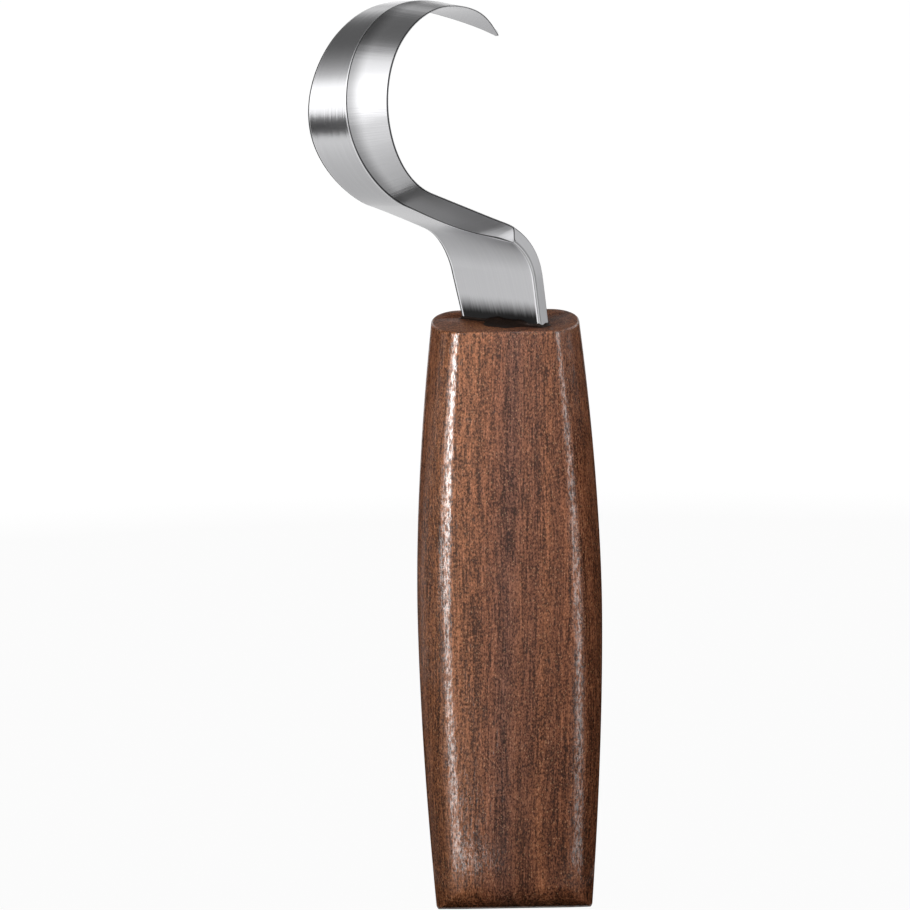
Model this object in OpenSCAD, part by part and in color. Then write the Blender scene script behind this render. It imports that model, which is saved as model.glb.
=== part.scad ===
// Hook knife for hollowing spoons and bowls: a steel strip bent into a hook and
// ground with one bevel on its outer face, its tang bedded in epoxy in a wooden
// handle. The origin is the middle of the butt, +Z runs along the handle to the
// neck, and -Y is the handle's front.

/* [Handle] */
// Length of the handle from butt to neck
handle_l = 110.5; // [90:0.5:140]
// Width of the butt
butt_w = 29.1; // [26:0.1:34]
// Depth of the butt, front to back
butt_d = 25; // [20:0.5:32]
// Width of the belly
belly_w = 34.5; // [30:0.1:42]
// Depth of the belly, front to back
belly_d = 26; // [23:0.5:34]
// Height of the belly above the butt
belly_z = 57.5; // [40:0.5:70]
// Width of the neck
neck_w = 27.5; // [26:0.1:34]
// Depth of the neck, front to back
neck_d = 22.5; // [21:0.5:30]
// Rounding of the four long edges across the width, as a share of the half-width
round_w = 0.35; // [0.2:0.01:0.45]
// Rounding of the long edges at the butt, front to back, as a share of the half-depth
butt_round_d = 0.4; // [0.2:0.01:0.9]
// The same rounding at the neck, where 1 leaves no flat side
neck_round_d = 0.96; // [0.3:0.01:0.96]
// Height of the rounding that runs across the front and back at the butt
butt_round_h = 4.9; // [2:0.1:10]
// Bow of the butt's front and back edges, back towards the sides
butt_bow = 0.3; // [0.1:0.05:1]
// Fullness of the curve into the belly: 1 is a straight taper, 2 a parabola
swell = 1.75; // [1.2:0.05:2.4]
// Radius that breaks the butt's edge at the sides
butt_edge_r = 0.7; // [0.4:0.1:2]
// Radius that breaks the neck's edge
neck_edge_r = 0.4; // [0.2:0.1:1]

/* [Blade] */
// Width of the steel strip at the neck
strip_w = 18; // [12:0.5:18.5]
// Thickness of the strip at the neck
strip_t = 2.7; // [2:0.1:3.2]
// Thickness of the spine at the tip
tip_t = 1; // [0.6:0.1:1.6]
// Thickness left along the cutting edge
edge_t = 0.15; // [0.1:0.05:0.3]
// Chamfer along the shank's front corner
chamfer = 0.5; // [0.2:0.1:0.8]
// Turn of the strip about the handle's length, away from the handle's front
strip_turn = 35; // [0:1:40]
// Distance of the shank in front of the handle's middle
shank_forward = 1.3; // [0:0.1:2]
// Straight rise of the shank out of the neck
rise_l = 9.3; // [6:0.1:20]
// Bend radius of the shank, to the strip's inner face
shank_bend_r = 11.7; // [8:0.1:18]
// Angle of the shank's bend
shank_bend = 65.5; // [40:0.5:75]
// Straight reach between the shank's bend and the hook
reach_l = 18.8; // [12:0.1:30]
// Radius of the hook, to the strip's inner face
hook_r = 16.7; // [12:0.1:30]
// Angle that the hook turns through
hook_bend = 122.5; // [90:0.5:130]
// Radius of the flatter run to the tip
tip_r = 24; // [16:0.5:40]
// Angle of the run to the tip
tip_bend = 80.5; // [40:0.5:85]
// Twist of the hook, which lifts its cutting edge
twist = 7; // [0:0.5:12]
// Length over which the bevel sinks through the strip at its heel
plunge_l = 1.5; // [1:0.1:4]

/* [Tang] */
// Depth that the full width of the shank goes into the handle
seat_l = 8; // [5:0.5:15]
// Width of the tang below its shoulders
tang_w = 11; // [7:0.5:11.5]
// Length of the tang below its shoulders
tang_l = 45; // [30:1:60]
// Length of the shoulders, where the strip narrows to the tang
shoulder_l = 3; // [1:0.5:6]
// Gap round the steel, which the epoxy fills
bed_gap = 0.4; // [0.3:0.05:0.8]

/* [Hidden] */

// The blade's outline, unbent: each point is a share of the bent length and a
// share of the strip's width at the neck.
CUTTING_EDGE = [[0, 0.5], [0.125, 0.385], [0.245, 0.165], [0.39, -0.01],
                [0.54, -0.05], [0.83, -0.045], [0.92, -0.02], [1, -0.095]];
SPINE = [[0, -0.5], [0.125, -0.69], [0.245, -0.78], [0.39, -0.8], [0.54, -0.995],
         [0.685, -0.89], [0.83, -0.74], [0.92, -0.555], [1, -0.14]];
HEEL = 0.174;
RIDGE = [[HEEL, 0.26], [0.186, 0.08], [0.205, -0.1], [0.235, -0.22], [0.29, -0.29],
         [0.39, -0.315], [0.54, -0.485], [0.685, -0.5], [0.83, -0.44], [1, -0.115]];

shank_arc = shank_bend_r * shank_bend * PI / 180;
hook_arc = hook_r * hook_bend * PI / 180;
tip_arc = tip_r * tip_bend * PI / 180;
reach_from = rise_l + shank_arc;
hook_from = reach_from + reach_l;
tip_from = hook_from + hook_arc;
bent_l = tip_from + tip_arc;
hook_middle = hook_from + hook_arc / 2;
taper_from = hook_from;
shoulder_from = seat_l + shoulder_l;

blade_steps = 96;
step_l = bent_l / blade_steps;
corner_steps = 10;
handle_rings = 22;
butt_rings = 7;
edge_rings = 3;
cut_past = 1;

front = [-sin(strip_turn), -cos(strip_turn), 0];
foot = [0, -shank_forward, handle_l] - front * strip_t / 2;

function share(x) = min(1, max(0, x));
function ease(x) = let (t = share(x)) t * t * (3 - 2 * t);

// Slope of a list of [place, value] points at point i
function slope(pts, i) =
    let (a = pts[max(0, i - 1)], b = pts[min(len(pts) - 1, i + 1)])
    (b[1] - a[1]) / (b[0] - a[0]);

// Smooth curve through a list of [place, value] points
function smooth_lookup(x, pts, i = 0) =
    i < len(pts) - 2 && x > pts[i + 1][0] ? smooth_lookup(x, pts, i + 1) :
    let (h = pts[i + 1][0] - pts[i][0], t = share((x - pts[i][0]) / h))
    (1 + 2 * t) * pow(1 - t, 2) * pts[i][1] + t * pow(1 - t, 2) * h * slope(pts, i)
    + t * t * (3 - 2 * t) * pts[i + 1][1] + t * t * (t - 1) * h * slope(pts, i + 1);

// Solid through a list of rings, each anticlockwise seen from the last ring
module skin(rings) {
    n = len(rings[0]);
    last = len(rings) - 1;
    sides = [for (i = [0:last - 1], j = [0:n - 1])
        let (a = i * n + j, b = i * n + (j + 1) % n)
        each [[a, a + n, b + n], [a, b + n, b]]];
    ends = [[for (j = [0:n - 1]) j], [for (j = [n - 1:-1:0]) last * n + j]];
    polyhedron([for (ring = rings) each ring], concat(sides, ends));
}

// --- Handle ---

// Size at height z, from its values at the butt, the belly and the neck
function swelled(z, butt, belly, neck) =
    z < belly_z ? belly - (belly - butt) * pow(1 - z / belly_z, swell)
    : belly - (belly - neck) * pow((z - belly_z) / (handle_l - belly_z), swell);

// How far a quarter round of radius r and height h stands back at z up it
function round_back(z, r, h) = r * (1 - sqrt(1 - pow(1 - share(z / h), 2)));

// Outline of the handle at height z, drawn in by inset: flat front, back and
// sides, joined by a quarter round at each long edge. Near the butt the front
// and back are cut back by the rounding that runs across them.
function handle_ring(z, inset = 0) =
    let (w = swelled(z, butt_w, belly_w, neck_w) / 2 - round_back(z, butt_edge_r, butt_edge_r) - inset,
         d = swelled(z, butt_d, belly_d, neck_d) / 2 - inset,
         rw = round_w * w,
         rd = d * (butt_round_d + (neck_round_d - butt_round_d) * z / handle_l),
         flat_d = d - round_back(z, rd, butt_round_h),
         corner = [for (i = [0:corner_steps])
             let (a = 90 * i / corner_steps)
             [w - rw * (1 - cos(a)), min(d - rd * (1 - sin(a)), flat_d - butt_bow * pow(cos(a), 2)), z]])
    [for (sides = [[1, 1], [-1, 1], [-1, -1], [1, -1]], i = [0:corner_steps])
        let (p = corner[sides[0] * sides[1] > 0 ? i : corner_steps - i])
        [sides[0] * p[0], sides[1] * p[1], z]];

// Slot in the neck: the shank and the tang with the gap round both
module tang_slot(mouth) {
    translate([0, -shank_forward, 0]) rotate([0, 0, -strip_turn]) {
        slot_box(strip_w, shoulder_from, mouth);
        slot_box(tang_w, shoulder_from + tang_l, mouth);
    }
}

// One depth of the slot, with its mouth above the neck by mouth
module slot_box(w, depth, mouth) {
    translate([-w / 2 - bed_gap, -strip_t / 2 - bed_gap, handle_l - depth - bed_gap])
        cube([w + 2 * bed_gap, strip_t + 2 * bed_gap, depth + bed_gap + mouth]);
}

module handle() {
    butt = [for (i = [0:butt_rings]) handle_ring(butt_round_h * (1 - cos(90 * i / butt_rings)))];
    neck = [for (i = [0:edge_rings])
        let (a = 90 * i / edge_rings)
        handle_ring(handle_l - neck_edge_r * (1 - sin(a)), neck_edge_r * (1 - cos(a)))];
    side_l = handle_l - butt_round_h - neck_edge_r;
    side = [for (i = [1:handle_rings - 1]) handle_ring(butt_round_h + side_l * i / handle_rings)];
    color("saddlebrown") difference() {
        skin(concat(butt, side, neck));
        tang_slot(cut_past);
    }
}

// --- Blade ---

// Heading of the strip at s along it, from straight up towards the front
function heading(s) =
    shank_bend * share((s - rise_l) / shank_arc)
    - hook_bend * share((s - hook_from) / hook_arc)
    - tip_bend * share((s - tip_from) / tip_arc);

// Directions at s: across the strip to its cutting edge, along it, and out of its outer face
function across(s) =
    let (lift = twist * ease((s - reach_from) / (hook_middle - reach_from)))
    [cos(strip_turn) * cos(lift), -sin(strip_turn) * cos(lift), sin(lift)];
function along(s) = front * sin(heading(s)) + cross(front, across(s)) * cos(heading(s));
function outward(s) = front * cos(heading(s)) - cross(front, across(s)) * sin(heading(s));

// Thickness of the spine at s
function spine_t(s) = strip_t + (tip_t - strip_t) * share((s - taper_from) / (bent_l - taper_from));

// Section from its spine, ridge and cutting edge: spine and ridge stand at full
// thickness t, and the cutting edge at near_t
function strip_section(spine, ridge, near, t, near_t) =
    [[spine, 0], [spine, t], [ridge, t], [near, near_t], [near, 0]];

// Section of the bent strip at s
function blade_section(s) =
    let (u = s / bent_l,
         near = strip_w * smooth_lookup(u, CUTTING_EDGE),
         spine = strip_w * smooth_lookup(u, SPINE),
         t = spine_t(s),
         sunk = ease((s - HEEL * bent_l) / plunge_l),
         ridge = u <= HEEL ? near - chamfer : min(near - chamfer, strip_w * smooth_lookup(u, RIDGE)))
    strip_section(spine, ridge, near, t, (t - chamfer) * (1 - sunk) + edge_t * sunk);

// Ring of the straight strip, w wide, at a depth below the neck
function straight_ring(w, depth) =
    [for (p = strip_section(-w / 2, w / 2 - chamfer, w / 2, strip_t, strip_t - chamfer))
        foot + across(0) * p[0] + front * p[1] - [0, 0, depth]];

// Steel inside the handle: the tang, its shoulders and the seated shank
buried_rings = [straight_ring(tang_w, shoulder_from + tang_l), straight_ring(tang_w, shoulder_from),
                straight_ring(strip_w, seat_l)];

module hook_blade() {
    path = [for (i = 0, p = foot; i <= blade_steps; p = p + step_l * along((i + 0.5) * step_l), i = i + 1) p];
    bent_rings = [for (i = [0:blade_steps])
        let (s = i * step_l)
        [for (p = blade_section(s)) path[i] + across(s) * p[0] + outward(s) * p[1]]];
    color("silver") skin(concat(buried_rings, bent_rings));
}

// --- Epoxy ---

module tang_epoxy() {
    color("dimgray") difference() {
        tang_slot(0);
        skin(concat(buried_rings, [straight_ring(strip_w, -cut_past)]));
    }
}

handle();
hook_blade();
tang_epoxy();
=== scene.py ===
"""Looks of the hook knife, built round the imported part.

A walnut handle, a ground and polished steel hook and the epoxy round its shank,
on a pale floor in a plain soft studio.
"""

import logging
import math
from dataclasses import dataclass
from enum import Enum, IntEnum
from functools import partial
from typing import Callable

import bpy
import numpy as np
from mathutils import Matrix, Vector


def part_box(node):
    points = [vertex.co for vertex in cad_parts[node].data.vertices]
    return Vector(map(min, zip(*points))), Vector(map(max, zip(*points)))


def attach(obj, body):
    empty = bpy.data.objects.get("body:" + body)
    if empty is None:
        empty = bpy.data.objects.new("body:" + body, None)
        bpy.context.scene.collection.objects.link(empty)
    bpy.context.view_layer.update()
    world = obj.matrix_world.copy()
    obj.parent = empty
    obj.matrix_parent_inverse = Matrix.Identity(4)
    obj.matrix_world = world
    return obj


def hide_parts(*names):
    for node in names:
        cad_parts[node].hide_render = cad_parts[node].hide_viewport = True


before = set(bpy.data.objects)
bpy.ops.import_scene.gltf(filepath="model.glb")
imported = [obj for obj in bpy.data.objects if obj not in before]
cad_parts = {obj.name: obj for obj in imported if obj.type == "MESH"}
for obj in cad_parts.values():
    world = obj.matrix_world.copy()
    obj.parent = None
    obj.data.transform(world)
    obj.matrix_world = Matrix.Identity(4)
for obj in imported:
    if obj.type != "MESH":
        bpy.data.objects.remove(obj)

LOG = logging.getLogger("hook_knife")
MM = 0.001
QUARTER = math.pi / 2
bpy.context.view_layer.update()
MATH = "ShaderNodeMath"
VECTOR = "ShaderNodeVectorMath"
RANGE = "ShaderNodeMapRange"

Tree = bpy.types.NodeTree
Node = bpy.types.Node
Socket = bpy.types.NodeSocket
Sockets = bpy.types.NodeOutputs
AddNode = Callable[..., Node]


# --- Small tools ---


def linear(code: str) -> tuple[float, float, float, float]:
    """Turns an sRGB hex colour into linear light.

    Args:
        code: Six hex digits, two each for red, green and blue.

    Returns:
        Red, green, blue and an alpha of 1.
    """
    parts = [int(code[i : i + 2], 16) / 255 for i in (0, 2, 4)]
    red, green, blue = (c / 12.92 if c <= 0.04045 else ((c + 0.055) / 1.055) ** 2.4 for c in parts)
    return red, green, blue, 1.0


def add_node(tree: Tree, kind: str, inputs: dict | None = None, **settings: object) -> Node:
    """Adds a node with its settings and what goes into its sockets.

    Args:
        tree: The node tree that it goes in.
        kind: The node's type, as Blender names it.
        inputs: For each socket, by name or number, its value, or the socket or the node that feeds it.
        **settings: The node's own settings.

    Returns:
        The new node. Where a node feeds another, it does so from its first output.
    """
    node = tree.nodes.new(kind)
    for name, value in settings.items():
        setattr(node, name, value)
    for key, value in (inputs or {}).items():
        if isinstance(value, Node):
            value = value.outputs[0]
        if isinstance(value, Socket):
            tree.links.new(value, node.inputs[key])
        else:
            node.inputs[key].default_value = value
    return node


def new_material(name: str) -> tuple[bpy.types.Material, Tree]:
    """Makes an empty material.

    Args:
        name: The material's name.

    Returns:
        The material and its node tree.
    """
    material = bpy.data.materials.new(name)
    material.use_nodes = True
    material.node_tree.nodes.clear()
    return material, material.node_tree


def noise(
    tree: Tree,
    place: Node | Socket,
    density: tuple[float, float, float],
    detail: float = 3.0,
    output: str = "Fac",
) -> Socket:
    """Adds a noise stretched by axis.

    Args:
        tree: The material's node tree.
        place: Where on the piece, in mm.
        density: Features a mm along each axis.
        detail: How many finer layers it has.
        output: "Fac" for one value, "Color" for three.

    Returns:
        The noise, with a middle of 0.5.
    """
    stretched = add_node(tree, "ShaderNodeMapping", {"Vector": place, "Scale": density})
    settings = {"Vector": stretched, "Scale": 1.0, "Detail": detail, "Roughness": 0.6}
    return add_node(tree, "ShaderNodeTexNoise", settings).outputs[output]


def add_piece(
    name: str, points: np.ndarray, faces: list, materials: list[bpy.types.Material]
) -> bpy.types.Object:
    """Makes a smooth-shaded mesh object with its place in its mesh.

    Args:
        name: The piece's name.
        points: Its points in metres, one row each.
        faces: The points of each face, anticlockwise seen from outside.
        materials: Its materials, in slot order.

    Returns:
        The object, at the origin.
    """
    mesh = bpy.data.meshes.new(name)
    mesh.from_pydata([tuple(p) for p in points], [], faces)
    for material in materials:
        mesh.materials.append(material)
    mesh.shade_smooth()
    mesh.update()
    piece = bpy.data.objects.new(name, mesh)
    bpy.context.scene.collection.objects.link(piece)
    return piece


def ease(x: np.ndarray) -> np.ndarray:
    """Smooth step from 0 to 1, level at both ends."""
    t = np.clip(x, 0, 1)
    return t * t * (3 - 2 * t)


def direction(azimuth: float, elevation: float = 0.0) -> np.ndarray:
    """Gives the direction from the knife at an azimuth and an elevation.

    Args:
        azimuth: 0 in front of the knife and 90 to its right, in degrees.
        elevation: Above the horizon, in degrees.

    Returns:
        A unit vector.
    """
    a, e = math.radians(azimuth), math.radians(elevation)
    return np.array([math.sin(a) * math.cos(e), -math.cos(a) * math.cos(e), math.sin(e)])


def smooth_lookup(x: np.ndarray, curve: tuple[tuple[float, float], ...]) -> np.ndarray:
    """Reads a smooth curve through a few points.

    Args:
        x: The places to read it at.
        curve: The points that it goes through, each a place and a value.

    Returns:
        The curve's value at each place.
    """
    place, value = (np.array(c, float) for c in zip(*curve))
    below = np.concatenate([[0], np.arange(len(place) - 1)])
    above = np.concatenate([np.arange(1, len(place)), [len(place) - 1]])
    slope = (value[above] - value[below]) / (place[above] - place[below])
    i = np.clip(np.searchsorted(place, x, side="left") - 1, 0, len(place) - 2)
    h = place[i + 1] - place[i]
    t = np.clip((x - place[i]) / h, 0, 1)
    return (
        (1 + 2 * t) * (1 - t) ** 2 * value[i]
        + t * (1 - t) ** 2 * h * slope[i]
        + t * t * (3 - 2 * t) * value[i + 1]
        + t * t * (t - 1) * h * slope[i + 1]
    )


# --- Finishes ---


@dataclass(frozen=True)
class Grain:
    """A layer of the wood's pattern.

    Args:
        density: Features a mm, twice across the grain and once along it.
        detail: How many finer layers it has.
        shade: How much it darkens and lightens the wood.
        relief: How much it lifts the surface.
    """

    density: tuple[float, float, float]
    detail: float
    shade: float
    relief: float = 0.0


@dataclass(frozen=True)
class Dashes:
    """Short marks along the grain.

    Args:
        colour: Their colour, as sRGB hex.
        strength: How much of it shows.
        density: Marks a mm, twice across the grain and once along it.
        core: Distance from a mark's middle at which it starts to fade.
        rim: Distance at which it is gone.
        spared: Share of the places that stay empty.
    """

    colour: str
    strength: float
    density: tuple[float, float, float]
    core: float
    rim: float
    spared: float

    def add(self, tree: Tree, place: Node) -> Node:
        """Scatters the marks.

        Args:
            tree: The material's node tree.
            place: Where on the wood, in mm.

        Returns:
            A node that is 1 in a mark and 0 outside.
        """
        node = partial(add_node, tree)
        stretched = node("ShaderNodeMapping", {"Vector": place, "Scale": self.density})
        spots = node("ShaderNodeTexVoronoi", {"Vector": stretched, "Scale": 1.0}).outputs
        fade = {"From Min": self.core, "From Max": self.rim, "To Min": 1.0, "To Max": 0.0}
        near = node(RANGE, {0: spots["Distance"], **fade}, interpolation_type="SMOOTHSTEP")
        chance = node("ShaderNodeSeparateColor", {"Color": spots["Color"]})
        kept = node(MATH, {0: chance, 1: self.spared}, operation="GREATER_THAN")
        return node(MATH, {0: near, 1: kept}, operation="MULTIPLY")


@dataclass(frozen=True)
class LacqueredWalnut:
    """Walnut, turned smooth, stained and sprayed with a satin lacquer.

    The growth bands give broad brown and greyish streaks along the handle. The
    open pores, about 0.15 mm wide, show through the lacquer as short dark
    dashes, and they and the fibres also break up its gloss. Pale flecks are
    painted into the colour, for the pale cut fibre ends and as painted glints.
    """

    name: str = "walnut_satin_lacquer"
    # the growth bands' colours, by share of the way from band_from to band_to
    bands: tuple = (
        (0.0, "5E3A28"),
        (0.3, "683F2B"),
        (0.46, "6C4229"),
        (0.54, "754930"),
        (0.6, "683F2B"),
        (0.65, "58372A"),
        (0.69, "643D2A"),
        (0.725, "5E3928"),
        (0.765, "6E432C"),
        (0.79, "5B3624"),
        (0.84, "623A26"),
        (1.0, "55311F"),
    )
    # the log's heart, and the distances from it between which the bands lie, in mm
    pith: tuple[float, float, float] = (-60.0, 40.0, 0.0)
    band_from: float = 48.0
    band_to: float = 96.0
    # the grain sways slowly, some 2 mm over 50 mm
    sway: tuple[float, float, float] = (8.0, 8.0, 0.0)
    sway_density: tuple[float, float, float] = (0.03, 0.03, 0.012)
    # growth lines about 1 mm apart
    line_density: float = 0.9
    line_shade: float = 0.8
    # streaks 2 mm wide and 60 mm long, fibres 0.3 mm wide and 8 mm long, cells 0.2 mm wide, and a fine
    # figure of 0.4 mm
    grain: tuple[Grain, ...] = (
        Grain((0.5, 0.5, 0.016), 2.0, 1.3),
        Grain((3.0, 3.0, 0.12), 3.0, 3.3, 3.2),
        Grain((5.0, 5.0, 2.4), 2.0, 3.6, 0.6),
        Grain((2.7, 2.7, 2.0), 3.0, 3.9, 2.4),
    )
    # pale flecks: the cut fibre ends' own pale colour, and painted glints on them
    flecks: Dashes = Dashes("C9A078", 0.35, (2.1, 2.1, 1.4), 0.12, 0.26, 0.5)
    pores: Dashes = Dashes("22120C", 0.5, (2.4, 2.4, 0.55), 0.14, 0.3, 0.2)
    pore_relief: float = -0.6
    darkest: float = 0.2
    pale_colour: str = "A3785A"
    pale_from: float = 1.0
    pale_to: float = 2.4
    pale_most: float = 0.2
    roughness: float = 0.45
    specular: float = 0.05
    coat: float = 1.0
    coat_roughness: float = 0.16
    # the lacquer lies thin, and gleams in grains of 0.3 mm by 1.2 mm
    gleam_density: tuple[float, float, float] = (3.2, 3.2, 0.85)
    gleam_from: float = 0.42
    gleam_to: float = 0.6
    gleam_least: float = 0.12
    relief: float = 0.0075
    tone: float = 0.9

    def build(self) -> bpy.types.Material:
        """Builds the wood, solid through the piece, so that its sides and its ends agree.

        Returns:
            The material.
        """
        material, tree = new_material(self.name)
        node = partial(add_node, tree)
        place = node("ShaderNodeTexCoord").outputs["Object"]
        mm = node(VECTOR, {0: place, "Scale": 1 / MM}, operation="SCALE")
        slow = noise(tree, mm, self.sway_density, detail=2.0, output="Color")
        centred = node(VECTOR, {0: slow, 1: (0.5, 0.5, 0.5)}, operation="SUBTRACT")
        swayed = node(VECTOR, {0: centred, 1: self.sway, 2: mm}, operation="MULTIPLY_ADD")
        from_pith = node(VECTOR, {0: swayed, 1: self.pith}, operation="SUBTRACT")
        flat = node(VECTOR, {0: from_pith, 1: (1.0, 1.0, 0.0)}, operation="MULTIPLY")
        ring = node(VECTOR, {0: flat}, operation="LENGTH").outputs["Value"]
        line_noise = {"W": ring, "Scale": self.line_density, "Detail": 3.0, "Roughness": 0.6}
        lines = node("ShaderNodeTexNoise", line_noise, noise_dimensions="1D")
        pore = self.pores.add(tree, swayed)
        fleck = self.flecks.add(tree, swayed)
        base = self.tone - (self.line_shade + sum(layer.shade for layer in self.grain)) / 2
        shade = node(MATH, {0: lines, 1: self.line_shade, 2: base}, operation="MULTIPLY_ADD")
        height = node(MATH, {0: pore, 1: self.pore_relief}, operation="MULTIPLY")
        for layer in self.grain:
            value = noise(tree, swayed, layer.density, detail=layer.detail)
            shade = node(MATH, {0: value, 1: layer.shade, 2: shade}, operation="MULTIPLY_ADD")
            if layer.relief:
                height = node(MATH, {0: value, 1: layer.relief, 2: height}, operation="MULTIPLY_ADD")
        shade = node(MATH, {0: shade, 1: self.darkest}, operation="MAXIMUM")
        bands = self._bands(tree, ring)
        colour = node(VECTOR, {0: bands, "Scale": shade}, operation="SCALE")
        rise = {0: shade, "From Min": self.pale_from, "From Max": self.pale_to, "To Max": self.pale_most}
        blend = {0: node(RANGE, rise), 6: colour, 7: linear(self.pale_colour)}
        colour = node("ShaderNodeMix", blend, data_type="RGBA").outputs[2]
        for mark, kind in ((fleck, self.flecks), (pore, self.pores)):
            amount = node(MATH, {0: mark, 1: kind.strength}, operation="MULTIPLY")
            blend = {0: amount, 6: colour, 7: linear(kind.colour)}
            colour = node("ShaderNodeMix", blend, data_type="RGBA").outputs[2]
        gleam = noise(tree, swayed, self.gleam_density, detail=2.0)
        spread = {"From Min": self.gleam_from, "From Max": self.gleam_to, "To Min": self.gleam_least}
        gloss = node(MATH, {0: node(RANGE, {0: gleam, **spread}), 1: self.coat}, operation="MULTIPLY")
        bump = node("ShaderNodeBump", {"Height": height, "Distance": self.relief * MM})
        shader = node(
            "ShaderNodeBsdfPrincipled",
            {
                "Base Color": colour,
                "Roughness": self.roughness,
                "Specular IOR Level": self.specular,
                "Normal": bump,
                "Coat Weight": gloss,
                "Coat Roughness": self.coat_roughness,
                "Coat IOR": 1.5,
                "Coat Normal": bump,
            },
        )
        node("ShaderNodeOutputMaterial", {"Surface": shader})
        return material

    def _bands(self, tree: Tree, ring: Socket) -> Node:
        """Colours the growth bands.

        Args:
            tree: The wood's node tree.
            ring: Distance from the heart of the log, in mm.

        Returns:
            A node that gives the colour there.
        """
        span = {"From Min": self.band_from, "From Max": self.band_to}
        ramp = add_node(tree, "ShaderNodeValToRGB", {0: add_node(tree, RANGE, {0: ring, **span})})
        stops = ramp.color_ramp.elements
        for i, (at, _) in enumerate(self.bands):
            stop = stops[i] if i < 2 else stops.new(at)
            stop.position = at
        for stop, (_, code) in zip(sorted(stops, key=lambda e: e.position), self.bands):
            stop.color = linear(code)
        return ramp


class LineRun(Enum):
    """The way that the grinding lines run on a face of the strip, as lines a mm along it and across it."""

    ALONG = (0.03, 3.2)
    ACROSS = (4.5, 0.06)


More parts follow.
